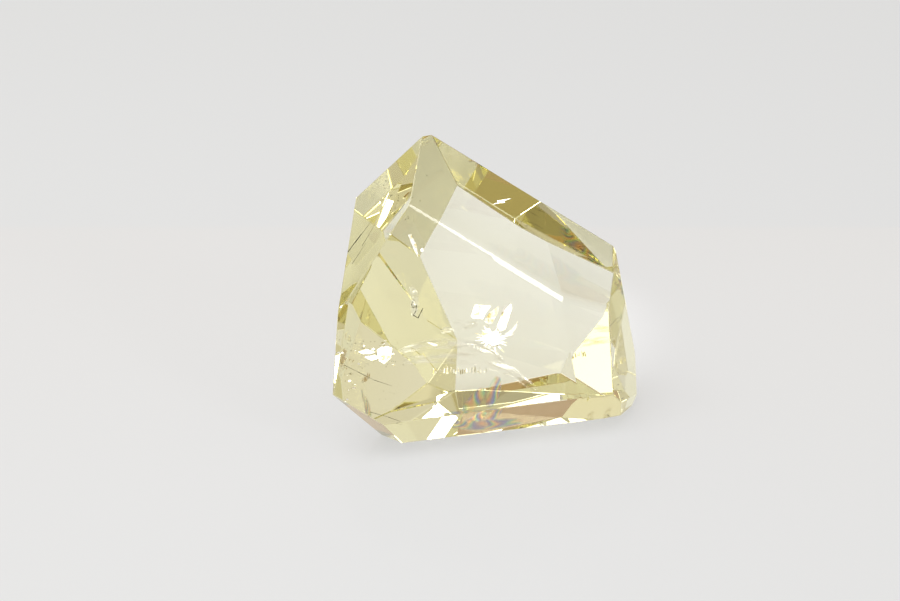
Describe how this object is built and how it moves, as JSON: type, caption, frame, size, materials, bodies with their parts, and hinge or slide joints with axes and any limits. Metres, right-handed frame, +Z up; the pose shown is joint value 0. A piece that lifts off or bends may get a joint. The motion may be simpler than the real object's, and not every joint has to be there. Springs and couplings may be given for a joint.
{
  "type": "citrine crystal point",
  "caption": "Free-standing polished point of clear pale lemon quartz: a chunky faceted block with an off-centre tip, a long sloping roof and a flat base.",
  "frame": {"origin": "on the base plane, under the middle of the stone's outline", "axes": "+Z up, +X along the long roof towards the right shoulder, the large front face looks towards -Y"},
  "size_m": [0.0482, 0.03, 0.0456],
  "materials": {
    "citrine": "polished clear quartz"
  },
  "bodies": {
    "root": {"crystal": "citrine"}
  },
  "joints": []
}
